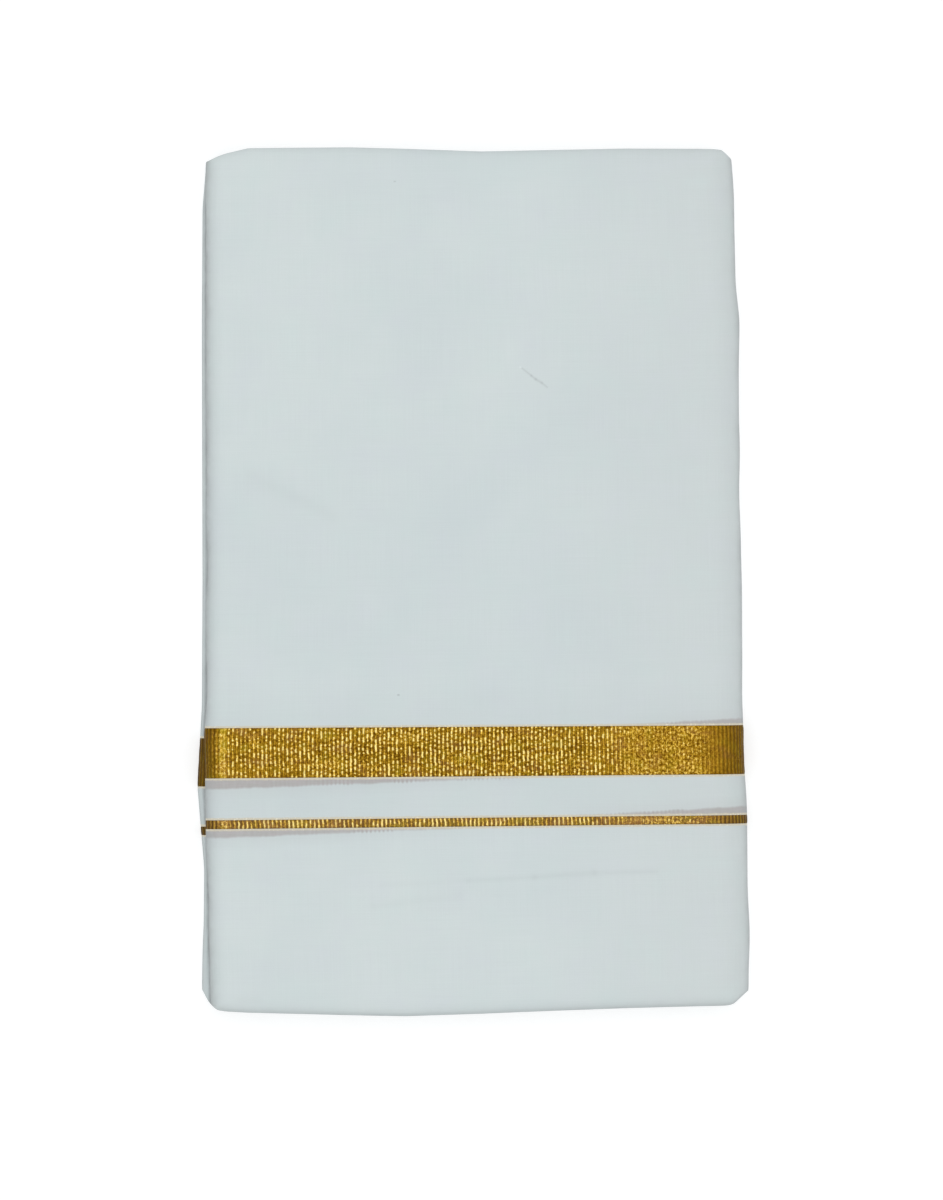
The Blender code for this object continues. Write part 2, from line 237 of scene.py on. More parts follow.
def threadLines(stations, rows, startU, bandRow):
    # how far each point lies along the cloth and up it, measured on the cloth before it is embossed
    points = layOut(stations, [row._replace(sink=0) for row in rows]).points
    steps = np.linalg.norm(np.diff(points[:, bandRow], axis=0), axis=1)
    u = startU + np.concatenate([[0], np.cumsum(steps)])
    climbs = np.linalg.norm(np.diff(points, axis=1), axis=2)
    v = np.concatenate([np.zeros((len(points), 1)), np.cumsum(climbs, axis=1)], axis=1)
    v = v - v[:, bandRow : bandRow + 1]
    drift = np.array([station.drift for station in stations])[:, None]
    v = np.where(v < 0, v / drawnIn(points[:, bandRow : bandRow + 1, 0], drift), v)
    return np.stack([u[:, None] + 0 * v, v], axis=2)


def clothMesh(name, leaves, material):
    # one object from one or more leaves, each of which closes on itself round its rows
    bm = bmesh.new()
    threads = bm.loops.layers.uv.new("threads")
    layers = [bm.verts.layers.float.new(key) for key in ("wear", "turned")]
    for leaf in leaves:
        count, around = leaf.points.shape[:2]
        lines = leaf.lines
        verts = [[bm.verts.new(p * mm) for p in ring] for ring in leaf.points]
        for layer, amounts in zip(layers, (leaf.wear, leaf.turned)):
            for i, ring in enumerate(verts):
                for j, vert in enumerate(ring):
                    vert[layer] = amounts[i, j]
        for i in range(count - 1):
            for j in range(around):
                k = (j + 1) % around
                corners = ((i, j), (i + 1, j), (i + 1, k), (i, k))
                face = bm.faces.new([verts[a][b] for a, b in corners])
                for loop, (a, b) in zip(face.loops, corners):
                    loop[threads].uv = lines[a, b] * mm
        for ring, row in ((verts[0], 0), (verts[-1], count - 1)):
            face = bm.faces.new(ring)
            for loop, j in zip(face.loops, range(around)):
                loop[threads].uv = lines[row, j] * mm
    bmesh.ops.recalc_face_normals(bm, faces=bm.faces)
    mesh = bpy.data.meshes.new(name)
    bm.to_mesh(mesh)
    bm.free()
    mesh.shade_smooth()
    mesh.set_sharp_from_angle(angle=math.radians(50))
    mesh.materials.append(material)
    piece = bpy.data.objects.new(name, mesh)
    bpy.context.scene.collection.objects.link(piece)
    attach(piece, "root")
    return piece


def foldArc(share, reach, start, end, steps, sign, over, under, lower, drift):
    # half an upright ellipse from height start to height end, at the left folds or at the last one
    outwards = 2 * share - 1
    middle = (start + end) / 2
    half = (start - end) / 2
    arc = []
    for step in range(steps + 1):
        turn = math.pi * step / steps
        flat, upright = math.sin(turn), math.cos(turn)
        nx, nz = outwards * flat / reach, upright / half
        length = math.hypot(nx, nz)
        mix = step / steps
        arc.append(Station(
            share=share,
            shift=outwards * reach * (flat - 1),
            z=middle + half * upright,
            nx=sign * nx / length,
            nz=sign * nz / length,
            over=over[0] + (over[1] - over[0]) * mix,
            under=under[0] + (under[1] - under[0]) * mix,
            lower=lower,
            drift=drift,
        ))
    return arc


def evenly(start, end, step):
    return np.linspace(start, end, max(2, round(abs(end - start) / step) + 1))


# the front and back leaves
outerLeaf = dict(
    frontStep=1.6,  # spacing of the mesh across the front, across the back and up both
    backStep=4.0,
    rowStep=1.6,
    foldStep=1.5,  # and round the folds
    tuckStep=2.0,
    frontWidth=235,  # the flat stretches that the spacing divides
    backWidth=232,
    belowLine=85,
    betweenStripes=16,
    aboveBand=272,
    leftFold=24,  # the way round each fold
    lowerFold=26,
    lastFold=46,
    endRound=1.1,
    bed=0.42,  # how far the cotton lies under the gold
    bedStep=0.12,
)


def frontPath(step, foldStep):
    # from the tuck under the upper left fold, over the front and round the last fold to the underside
    leaf, left, last = packet["leaf"], packet["leftReach"], packet["lastReach"]
    foot, height = packet["upperFoldFoot"], packet["height"]
    path = []
    for inwards in evenly(packet["tuck"], 0.5, outerLeaf["tuckStep"]):
        path.append(Station(0, left + inwards, foot, 0, -1, 0, leaf, 0, 0))
    steps = round(outerLeaf["leftFold"] / foldStep)
    path += foldArc(0, left, foot, height, steps, 1, (0, 0), (leaf, leaf), 0, 0)
    count = len(evenly(0, outerLeaf["frontWidth"], step))
    for share in np.linspace(0, 1, count)[1:-1]:
        path.append(Station(share, left * (1 - share) - last * share, height, 0, 1, 0, leaf, 0, 0))
    steps = round(outerLeaf["lastFold"] / foldStep)
    path += foldArc(1, last, height, 0, steps, 1, (0, 0), (leaf, leaf), 0, 0)
    for inwards in evenly(1.0, packet["underlap"], step):
        path.append(Station(1, -last - inwards, 0, 0, -1, 0, leaf, 0, 0))
    return path


def backPath(step, foldStep):
    # from the end of the front leaf's underlap, under the packet, to the tuck over the lower left fold
    leaf, left = packet["leaf"], packet["leftReach"]
    start = -packet["lastReach"] - packet["underlap"]
    top, drift = packet["lowerFoldTop"], border["drift"]
    path = []
    count = len(evenly(0, outerLeaf["backWidth"], step))
    for share in np.linspace(1, 0, count)[:-1]:
        shift = left * (1 - share) + start * share
        path.append(Station(share, shift, 0, 0, -1, 0, leaf, 1 - share, drift * (1 - share)))
    steps = round(outerLeaf["lowerFold"] / foldStep)
    path += foldArc(0, left, 0, top, steps, 1, (0, 0), (leaf, leaf), 1, drift)
    for inwards in evenly(0.5, packet["tuck"], outerLeaf["tuckStep"]):
        path.append(Station(0, left + inwards, top, 0, 1, 0, leaf, 1, drift))
    return path


def endTurn(zone, radius, split):
    # round the end of a leaf, from its upper face to its lower one: one fat fold, or a fold with the
    # third ply's edge beside it
    inwards = 1 if zone == 0 else -1
    bumps = ((1.0, -0.3, 0.0), (-0.3, -1.0, 0.35)) if split else ((1.0, -1.0, 0.0),)
    rows = []
    for high, low, back in bumps:
        for turn in np.linspace(0, math.pi, 9 if high - low > 1.5 else 7):
            side = (high + low) / 2 + (high - low) / 2 * math.cos(turn)
            inset = back + radius * (high - low) / 2 * (1 - math.sin(turn)) * (1.0 if split else 0.8)
            rows.append(Row(zone, inwards * inset, side, 0))
    return rows


def outerRows():
    # once round an outer leaf, with a bed for each stripe of gold in its upper face
    step, bed, slope = outerLeaf["rowStep"], outerLeaf["bed"], outerLeaf["bedStep"]
    nearEnd = (1.5, 2.2, 3.2, 4.6)
    rows = [Row(0, inwards, 1, 0) for inwards in nearEnd]
    rows += [Row(zone, 0, 1, 0) for zone in np.linspace(0.07, 1, round(outerLeaf["belowLine"] / step))[:-1]]
    for stripe in reversed(stripes):
        low, high = stripe["low"], stripe["high"]
        inside = np.linspace(low, high, round(stripe["width"] / 2.5) + 1)[1:-1]
        rows += [Row(low, -0.5, 1, 0), Row(low, 0, 1, 0), Row(low, slope, 1, bed)]
        rows += [Row(zone, 0, 1, bed) for zone in inside]
        rows += [Row(high, -slope, 1, bed), Row(high, 0, 1, 0), Row(high, 0.5, 1, 0)]
        if stripe["name"] == "Line":
            between = np.linspace(2.1, 2.9, round(outerLeaf["betweenStripes"] / step))
            rows += [Row(zone, 0, 1, 0) for zone in between]
    bandRow = len(rows) - 2
    rows += [Row(zone, 0, 1, 0) for zone in np.linspace(4.01, 4.98, round(outerLeaf["aboveBand"] / step))]
    rows += [Row(5, -inwards, 1, 0) for inwards in reversed(nearEnd)]
    rows += endTurn(5, outerLeaf["endRound"], False)
    rows += [Row(5, -3, -1, 0), Row(5, -8, -1, 0)]
    rows += [Row(zone, 0, -1, 0) for zone in (4.75, 4.5, 4.2, 4, 3, 2, 1, 0.6, 0.3)]
    rows += [Row(0, 8, -1, 0), Row(0, 3, -1, 0)]
    rows += list(reversed(endTurn(0, outerLeaf["endRound"], True)))
    return rows, bandRow


# creases pressed into the front, as lines of points: how deep and wide each trough is, and the ridge
# that stands beside it
frontCreases = [
    dict(line=((118, -140.4), (87, -141.3), (57, -141.5), (28, -143.2), (-28, -145.4), (-48, -147)),
         depth=0.14, width=1.8, ridge=0.06),
    dict(line=((-96, -150), (-60, -163), (-20, -161), (14, -166)), depth=0.12, width=3.0, ridge=0.05),
    dict(line=((-122, -60), (-40, -61), (50, -60), (118, -58)), depth=0.12, width=4.0, ridge=0.04),
    dict(line=((25.0, 103.6), (29.6, 100.0), (31.8, 98.2), (34.7, 96.5), (37.2, 94.4)),
         depth=0.28, width=0.9, ridge=0.06),
    dict(line=((-110, 52), (-92, 44), (-70, 33)), depth=0.16, width=4.5, ridge=0.08),
    dict(line=((-98, 138), (-40, 131), (24, 134), (70, 128)), depth=0.07, width=3.5, ridge=0.04),
    dict(line=((-62, 188), (-58, 120), (-61, 40), (-57, -30)), depth=0.06, width=3.0, ridge=0.03),
    dict(line=((66, 196), (69, 118), (66, 44), (70, -44)), depth=0.05, width=3.0, ridge=0.03),
]

# like ones under the packet, where they can only sink into the cloth
backCreases = [
    dict(line=((-104, 150), (-50, 143), (10, 147), (84, 139)), depth=0.35, width=2.2, ridge=0),
    dict(line=((-60, -30), (-22, -22), (30, -25)), depth=0.3, width=1.8, ridge=0),
    dict(line=((52, 82), (75, 60), (84, 22)), depth=0.3, width=2.0, ridge=0),
    dict(line=((-96, -160), (-40, -150), (30, -154), (98, -147)), depth=0.3, width=2.0, ridge=0),
    dict(line=((-20, 96), (-9, 84)), depth=0.4, width=1.2, ridge=0),
]


def creaseRelief(x, y, creases):
    # the height that the creases add at places on a leaf, in millimetres
    height = np.zeros(np.broadcast(x, y).shape)
    for crease in creases:
        nearest = np.full(height.shape, 1e9)
        beside = np.zeros(height.shape)
        fade = np.zeros(height.shape)
        line = np.array(crease["line"], float)
        lengths = np.linalg.norm(np.diff(line, axis=0), axis=1)
        for k, (a, b) in enumerate(zip(line, line[1:])):
            run = (b - a) / lengths[k]
            t = np.clip((x - a[0]) * run[0] + (y - a[1]) * run[1], 0, lengths[k])
            dx, dy = x - a[0] - t * run[0], y - a[1] - t * run[1]
            away = np.hypot(dx, dy)
            nearer = away < nearest
            share = (lengths[:k].sum() + t) / lengths.sum()
            nearest = np.where(nearer, away, nearest)
            beside = np.where(nearer, dy * run[0] - dx * run[1], beside)
            fade = np.where(nearer, np.sin(np.clip(share, 0, 1) * math.pi) ** 0.5, fade)
        width = crease["width"]
        trough = np.exp(-((nearest / width) ** 2))
        ridge = np.exp(-(((beside - 1.9 * width) / width) ** 2)) * (nearest < 5 * width)
        height += fade * (crease["ridge"] * ridge - crease["depth"] * trough)
    return height


# how far the cloth's slack lifts it
slack = dict(
    front=0.20,  # in long waves on the front, and in short ones
    frontFine=0.05,
    folds=0.22,
    beneath=0.05,
    ends=0.2,  # how much thinner it gets towards its folded ends, and how much more where it lies flat
    flatEnds=0.7,
    endsReach=5.0,
)


def endRounding(facing, toEnd):
    thinning = slack["ends"] + slack["flatEnds"] * facing
    return -thinning * np.clip(1 - toEnd / slack["endsReach"], 0, 1) ** 2


def frontRelief(x, y, path, toEnd):
    upwards = np.clip(path.nz, 0, 1) ** 2
    downwards = np.clip(-path.nz, 0, 1) ** 4
    waves = slack["front"] * ripple(x, y, seed=3, shortest=28, longest=90)
    waves = waves + slack["frontFine"] * ripple(x, y, seed=5, shortest=9, longest=24)
    folds = slack["folds"] * ripple(path.z * 2, y, seed=7, shortest=30, longest=110)
    folds = (1 - upwards) * (1 - downwards) * folds
    return upwards * (waves + creaseRelief(x, y, frontCreases)) + folds + endRounding(upwards, toEnd)


def backRelief(x, y, path, toEnd):
    # the underside rests flat, so what it has is sunk into it
    downwards = np.clip(-path.nz, 0, 1) ** 4 * (path.z < 0.01)
    waves = slack["beneath"] * ripple(x, y, seed=11, shortest=30, longest=80)
    sunk = np.minimum(0, creaseRelief(x, y, backCreases) + waves - 0.03)
    return downwards * sunk + endRounding(downwards, toEnd)


# the woven gold
gold = dict(
    pitch=2.04,  # from one rib to the next
    step=0.34,  # spacing of the mesh along a stripe and across it
    rowStep=1.0,
    rib=0.14,  # how far a rib stands out
    thickness=0.36,
    seam=0.02,  # from the cotton's edge to its own
    rounding=0.18,  # how far in its rounded edge reaches, and how low it starts
    edgeSink=0.12,
)


def stripeRows(stripe):
    # once round a stripe: its ribbed face from edge to edge, and back under it
    low, high = stripe["low"], stripe["high"]
    seam, rounding, edgeSink = gold["seam"], gold["rounding"], gold["edgeSink"]
    inside = np.linspace(low, high, round(stripe["width"] / gold["rowStep"]) + 1)[1:-1]
    rows = [Row(low, seam, 1, edgeSink), Row(low, rounding, 1, 0.02)]
    rows += [Row(zone, 0, 1, 0) for zone in inside]
    rows += [Row(high, -rounding, 1, 0.02), Row(high, -seam, 1, edgeSink)]
    rows += [Row(high, -seam, 1, gold["thickness"]), Row(low, seam, 1, gold["thickness"])]
    return rows


def ribbed(leaf, stations, rows):
    # raises the ribs across a stripe, a little uneven, out from the cloth
    u, v = leaf.lines[..., 0], leaf.lines[..., 1]
    side = np.array([row.sink < 0.01 for row in rows], float)[None, :]
    crest = 0.5 + 0.5 * np.cos(2 * math.pi * u / gold["pitch"])
    uneven = 1 + 0.3 * ripple(u * 3, v, seed=21, shortest=3, longest=9)
    nx = np.array([s.nx for s in stations])[:, None]
    nz = np.array([s.nz for s in stations])[:, None]
    lift = gold["rib"] * (crest * np.clip(uneven, 0.3, 1.6) - 0.45) * side
    points = leaf.points.copy()
    points[..., 0] += nx * lift
    points[..., 2] += nz * lift
    points[..., 2] = np.maximum(points[..., 2], 0)
    return leaf._replace(points=points)


# the hidden leaves
innerLeaves = dict(
    columnStep=4.5,  # spacing of the mesh across them, and of its steps round a fold
    acrossWidth=240,
    arcSteps=16,
    endRound=0.9,
    gap=0.10,  # from one leaf to the next
    wander=0.16,  # how much the leaves' seams rise and fall
    # the seams between the fourteen leaves, from the underside up
    seams=(0, 2.0, 3.63, 5.26, 6.88, 8.51, 10.14, 11.767, 13.9, 16.067, 18.05, 20.03, 22.02, 24.0, 26.0),
    # how far inside the outer leaf's ends each leaf ends
    topEnd=(0, 0.9, 1.7, 0.6, 1.3, 0.8, 2.0, 1.1, 0.7, 1.6, 1.0, 1.4, 0.6, 0),
    bottomEnd=(0, 1.6, 0.7, 1.2, 1.9, 0.9, 1.5, 0.6, 1.4, 1.0, 1.8, 0.8, 1.1, 0),
    endWander=0.22,  # how much that varies across a leaf, and the least and most that it comes to
    endLimits=(0.2, 3),
    # the order in which the cloth runs through the leaves, the first one to the left, and the loose leaf
    order=(6, 1, 12, 9, 4, 3, 10, 11, 2, 5, 8),
    loose=(7,),
)


def seamHeight(seam, share):
    # a seam's height at a share of the way across, level at both sides
    base = innerLeaves["seams"][seam]
    if seam in (0, 1, 13, 14):
        return base
    level = min(1, min(share, 1 - share) / 0.12)
    wave = ripple(share * 260, 0, seed=40 + seam, shortest=40, longest=130, count=8)
    return base + innerLeaves["wander"] * level * level * (3 - 2 * level) * wave


def innerPath(order):
    # the cloth's way through hidden leaves: its stations, and the leaf that each is on
    path, on = [], []
    heading = -1
    shares = np.linspace(0, 1, round(innerLeaves["acrossWidth"] / innerLeaves["columnStep"]) + 1)
    for place, leaf in enumerate(order):
        lower = 1 if leaf < 8 else 0
        for share in shares if heading > 0 else shares[::-1]:
            low, high = seamHeight(leaf, share), seamHeight(leaf + 1, share)
            z = (low + high) / 2
            half = (high - low - innerLeaves["gap"]) / 2
            shift = packet["leftReach"] * (1 - share) - packet["lastReach"] * share
            path.append(Station(share, shift, z, 0, heading, half, half, lower * (1 - share), 0))
            on.append(leaf)
        if place < len(order) - 1:
            arc = innerArc(leaf, order[place + 1], heading)
            path += arc
            on += [leaf] * len(arc)
        heading = -heading
    return path, on


def innerArc(leaf, following, heading):
    # the fold from one leaf to the next, at the side that the cloth is heading for
    seams = innerLeaves["seams"]
    start = (seams[leaf] + seams[leaf + 1]) / 2
    end = (seams[following] + seams[following + 1]) / 2
    halves = [(seams[k + 1] - seams[k] - innerLeaves["gap"]) / 2 for k in (leaf, following)]
    # the outer leaf's fold that it lies in, and how far it stays inside that one
    if heading > 0:
        share, lower, outer, foot, top = 1, 0, packet["lastReach"], 0, packet["height"]
    elif leaf < 8:
        share, lower, outer, foot, top = 0, 1, packet["leftReach"], 0, packet["lowerFoldTop"]
    else:
        share, lower, outer, foot, top = 0, 0, packet["leftReach"], packet["upperFoldFoot"], packet["height"]
    reach = outer - (top - max(start, end) + min(start, end) - foot) / 2
    sign = heading * (1 if start > end else -1)
    arc = foldArc(share, reach, start, end, innerLeaves["arcSteps"], sign, halves, halves, lower, 0)
    return [s._replace(shift=s.shift - (2 * share - 1) * (outer - reach)) for s in arc[1:-1]]


def innerRows():
    # once round the hidden leaves
    nearEnd = (3, 7, 15)
    zones = (0.4, 1, 2, 3, 4, 4.35, 4.7)
    rows = [Row(0, inwards, 1, 0) for inwards in nearEnd]
    bandRow = len(rows) + zones.index(4)
    rows += [Row(zone, 0, 1, 0) for zone in zones]
    rows += [Row(5, -inwards, 1, 0) for inwards in reversed(nearEnd)]
    rows += endTurn(5, innerLeaves["endRound"], False)
    rows += [Row(5, -inwards, -1, 0) for inwards in nearEnd]
    rows += [Row(zone, 0, -1, 0) for zone in reversed(zones)]
    rows += [Row(0, inwards, -1, 0) for inwards in reversed(nearEnd)]
    rows += list(reversed(endTurn(0, innerLeaves["endRound"], True)))
    return rows, bandRow


def drawBackEnds(points, on, rows):
    # each hidden leaf ends a little inside the outer one, and its fold wanders
    steps = np.linalg.norm(np.diff(points[:, 5, ::2], axis=0), axis=1)
    along = np.cumsum(np.concatenate([[0], steps]))
    zone = np.array([row.zone for row in rows])
    points = points.copy()
    for end, seed, place, inwards in (("topEnd", 61, 5, -1), ("bottomEnd", 67, 0, 1)):
        wander = innerLeaves["endWander"] * ripple(along, 0, seed=seed, shortest=14, longest=60)
        inset = smoothed(np.interp(on, range(14), innerLeaves[end])) + wander
        inset = np.clip(inset, *innerLeaves["endLimits"])
        points[..., 1] += inwards * inset[:, None] * (zone == place)[None, :]
    return points


def smoothed(values, reach=6):
    padded = np.pad(values, reach, mode="edge")
    return np.convolve(padded, np.ones(2 * reach + 1) / (2 * reach + 1), mode="valid")


class Wire:
    # a number that runs through a material's nodes
    def __init__(self, tree, socket):
        self.tree = tree
        self.socket = socket

    def maths(self, operation, *others, clamp=False):
        node = self.tree.nodes.new("ShaderNodeMath")
        node.operation = operation
        node.use_clamp = clamp
        for socket, value in zip(node.inputs, (self, *others)):
            join(self.tree, value, socket)
        return Wire(self.tree, node.outputs[0])

    def __add__(self, other):
        return self.maths("ADD", other)

    def __sub__(self, other):
        return self.maths("SUBTRACT", other)

    def __mul__(self, other):
        return self.maths("MULTIPLY", other)

    def clamped(self):
        return self.maths("ADD", 0, clamp=True)

    def clampedTo(self, low, high):
        return self.maths("MAXIMUM", low).maths("MINIMUM", high)


def join(tree, value, socket):
    value = getattr(value, "socket", value)
    if isinstance(value, bpy.types.NodeSocket):
        tree.links.new(value, socket)
    else:
        socket.default_value = value


def startMaterial(name):
    # a new material with its shader, and the cloth's own coordinates in millimetres
    material = bpy.data.materials.new(name)
    material.use_nodes = True
    tree = material.node_tree
    shader = tree.nodes["Principled BSDF"]
    threads = tree.nodes.new("ShaderNodeUVMap")
    threads.uv_map = "threads"
    split = tree.nodes.new("ShaderNodeSeparateXYZ")
    tree.links.new(threads.outputs[0], split.inputs[0])
    u = Wire(tree, split.outputs[0]) * 1000
    v = Wire(tree, split.outputs[1]) * 1000
    return material, tree, shader, u, v


def noiseOf(tree, x, y, layer, detail=2.0, roughness=0.5):
    place = tree.nodes.new("ShaderNodeCombineXYZ")
    for value, socket in zip((x, y, layer), place.inputs):
        join(tree, value, socket)
    texture = tree.nodes.new("ShaderNodeTexNoise")
    texture.inputs["Scale"].default_value = 1
    texture.inputs["Detail"].default_value = detail
    texture.inputs["Roughness"].default_value = roughness
    tree.links.new(place.outputs[0], texture.inputs["Vector"])
    return Wire(tree, texture.outputs[0])


def attributeOf(tree, name):
    node = tree.nodes.new("ShaderNodeAttribute")
    node.attribute_name = name
    return Wire(tree, node.outputs["Fac"])


def mixColours(tree, share, first, second, blend="MIX"):
    node = tree.nodes.new("ShaderNodeMix")
    node.data_type = "RGBA"
    node.blend_type = blend
    node.clamp_factor = True
    join(tree, share, node.inputs[0])
    join(tree, first, node.inputs[6])
    join(tree, second, node.inputs[7])
    return node.outputs[2]


def shadedBy(tree, share, colour):
    # a colour made darker or lighter by a share of itself
    grey = tree.nodes.new("ShaderNodeCombineColor")
    for channel in range(3):
        join(tree, share, grey.inputs[channel])
    return mixColours(tree, 1, colour, grey.outputs[0], "MULTIPLY")


def oneOrOther(tree, choice, no, yes):
    node = tree.nodes.new("ShaderNodeMix")
    join(tree, choice, node.inputs[0])
    join(tree, no, node.inputs[2])
    join(tree, yes, node.inputs[3])
    return node.outputs[0]


def within(value, low, high, soft):
    # 1 where a value lies between low and high, with soft edges
    rising = ((value - low).maths("DIVIDE", soft) + 0.5).clamped()
    falling = ((value * -1 + high).maths("DIVIDE", soft) + 0.5).clamped()
    return rising * falling


def addBump(tree, shader, height, distance, strength):
    bump = tree.nodes.new("ShaderNodeBump")
    bump.inputs["Strength"].default_value = strength
    bump.inputs["Distance"].default_value = distance
    join(tree, height, bump.inputs["Height"])
    tree.links.new(bump.outputs[0], shader.inputs["Normal"])


def plainWeave(u, v, pitch):
    # the height of a plain weave's threads, 0 to 1
    a = (u * (math.pi / pitch)).maths("SINE")
    b = (v * (math.pi / pitch)).maths("SINE")
    over = a * b * 0.5 + 0.5
    warp = a.maths("ABSOLUTE") * over
    weft = b.maths("ABSOLUTE") * (over * -1 + 1)
    return warp.maths("MAXIMUM", weft)


cottonLook = dict(
    colour=(0.688, 0.752, 0.744, 1),
    cloud=(0.638, 0.706, 0.712, 1),  # tones that drift across it
    green=(0.640, 0.745, 0.725, 1),
    mauve=(0.670, 0.705, 0.745, 1),
    grey=(0.655, 0.700, 0.692, 1),
    clouding=1.8,  # how strongly, and how far the first of them covers it all
    clouded=0.3,
    tinting=1.2,
    thread=0.30,  # from one thread to the next
    wander=2.2,  # how far the threads stray from an exact grid
    weaveShade=0.025,
    slubShade=0.055,
    soilAndShade=(0.345, 0.370, 0.372, 1),  # what greys it: painted shade along its folds, at its ends and in its creases, and soil along its fold edges and in its specks and dust
    # the painted highlight beside the short crease
    light=(0.9, 0.95, 0.95, 1),
    shadow=(0.44, 0.42, 0.405, 1),  # the border beneath, where it shows through
    shadowPink=(0.475, 0.435, 0.435, 1),
    hairline=(0.67, 0.61, 0.47, 1),  # the cream threads along the gold, and their flecks
    fleck=(0.92, 0.86, 0.68, 1),
    edges=((-0.4, 0.95), (-25.1, -23.8), (-44.5, -43.2), (-49.4, -48.1)),
    edgeShare=0.86,
    roughness=0.85,
    roughnessSpread=0.08,
    sheen=0.12,
    sheenRoughness=0.5,
    specular=0.25,
    bump=0.05,
    bumpStrength=0.5,
)

# painted shade on the front, which ends at the last fold
frontShading = dict(
    end=168,
    endFade=0.04,
    middle=40,  # it is greyest this far above the gold
    middleFade=-0.00005,
    middleShare=0.30,
    rightShare=0.0012,  # and greyer towards the right
    rightFrom=0.15,
    greyFrom=25,
    greyShare=0.007,
    stripesShade=0.05,  # painted shade round the two stripes, and how far up and down from them
    stripesPlace=(-50, 14),
)

# small marks on the front: painted shade along the creases, a painted highlight beside the short one where
# the darkness is below 0, a faint grey patch, specks and corner dust; from one place to another, width,
# darkness, all in the threads' coordinates
marks = dict(
    creaseTop=((25.0, 173.7), (29.5, 170.1), 0.62, 0.26),
    creaseUpper=((29.5, 170.1), (31.7, 168.3), 0.80, 0.28),
    creaseLower=((31.7, 168.3), (34.6, 166.6), 0.90, 0.26),
    creaseFoot=((34.6, 166.6), (37.2, 164.5), 0.68, 0.26),
    creaseHighlight=((24.0, 174.3), (24.1, 174.2), 0.70, -0.30),
    lowFold1=((-46, -76.4), (-4, -74.7), 1.9, 0.04),
    lowFold2=((-4, -74.7), (28, -73.4), 1.9, 0.07),
    lowFold3=((28, -73.4), (57, -71.7), 2.1, 0.09),
    lowFold4=((57, -71.7), (87, -71.4), 1.9, 0.08),
    lowFold5=((-50, -86.5), (-8, -81.6), 3.2, 0.04),
    greyPatch=((-108, 122), (-69, 102.5), 5.0, 0.05),
    speckLow=((-36.7, 15.6), (-36.1, 15.6), 0.5, 0.55),
    speckHigh=((-36.7, 264.7), (-36.1, 264.7), 0.5, 0.35),
    cornerDust=((-116, -130.5), (-107, -130.5), 3.0, 0.05),
)

# the border of the leaf beneath shows through as grey slivers: the edge of the gold that each lies
# along (0 is the band's top), where it is tallest and where it ends, its height, and its side
slivers = [
    dict(edge=-24.15, tall=-130, end=50, height=5.4, side=-1, strength=0.90),
    dict(edge=-48.45, tall=-130, end=20, height=4.5, side=-1, strength=0.84),
    dict(edge=-44.15, tall=132, end=36, height=4.3, side=1, strength=0.86),
    dict(edge=0.0, tall=132, end=62, height=3.4, side=1, strength=0.86),
]


def markMask(u, v, mark):
    # a soft streak from one place to another
    (x0, y0), (x1, y1), width, strength = mark
    length = math.hypot(x1 - x0, y1 - y0)
    cos, sin = (x1 - x0) / length, (y1 - y0) / length
    along = (u - x0) * cos + (v - y0) * sin
    across = (v - y0) * cos - (u - x0) * sin
    beyond = along - along.clampedTo(0, length)
    away = (across * across + beyond * beyond) * (-2.0 / width**2)
    return away.maths("EXPONENT") * strength


def sliverMask(tree, u, v, sliver):
    reach = (u - sliver["end"]).maths("DIVIDE", sliver["tall"] - sliver["end"], clamp=True)
    wander = noiseOf(tree, u * 0.11, 0, sliver["edge"], 4.0, 0.65) - 0.5
    # where it thins out it breaks up here and there into the ribs beneath
    patches = ((noiseOf(tree, u * 0.05, 0, sliver["edge"] + 9) - 0.45) * 7).clamped()
    ribs = (u * (2 * math.pi / gold["pitch"]) + wander * 4).maths("SINE") * patches * 0.5
    broken = (reach * -1.6 + 1.4).clamped()
    height = reach * sliver["height"] + wander * 2.0 + ribs * broken * 0.8
    away = (v - sliver["edge"]) * sliver["side"]
    beside = (away + 0.2).clamped()
    inside = ((height - away) * 0.8 + 0.5).clamped()
    comb = noiseOf(tree, u * 0.75, v * 0.15, 83.0, 1.0) * 0.30 + 0.85 + ribs * broken * 0.5
    faint = (reach * 1.4 + 0.3).clamped() * (reach * 6).clamped()
    around = ((height * 1.3 + 5 - away) * 0.16).clamped() * 0.15  # a much fainter painted shade beyond it
    return beside * faint * (inside * comb).maths("MAXIMUM", around) * sliver["strength"]


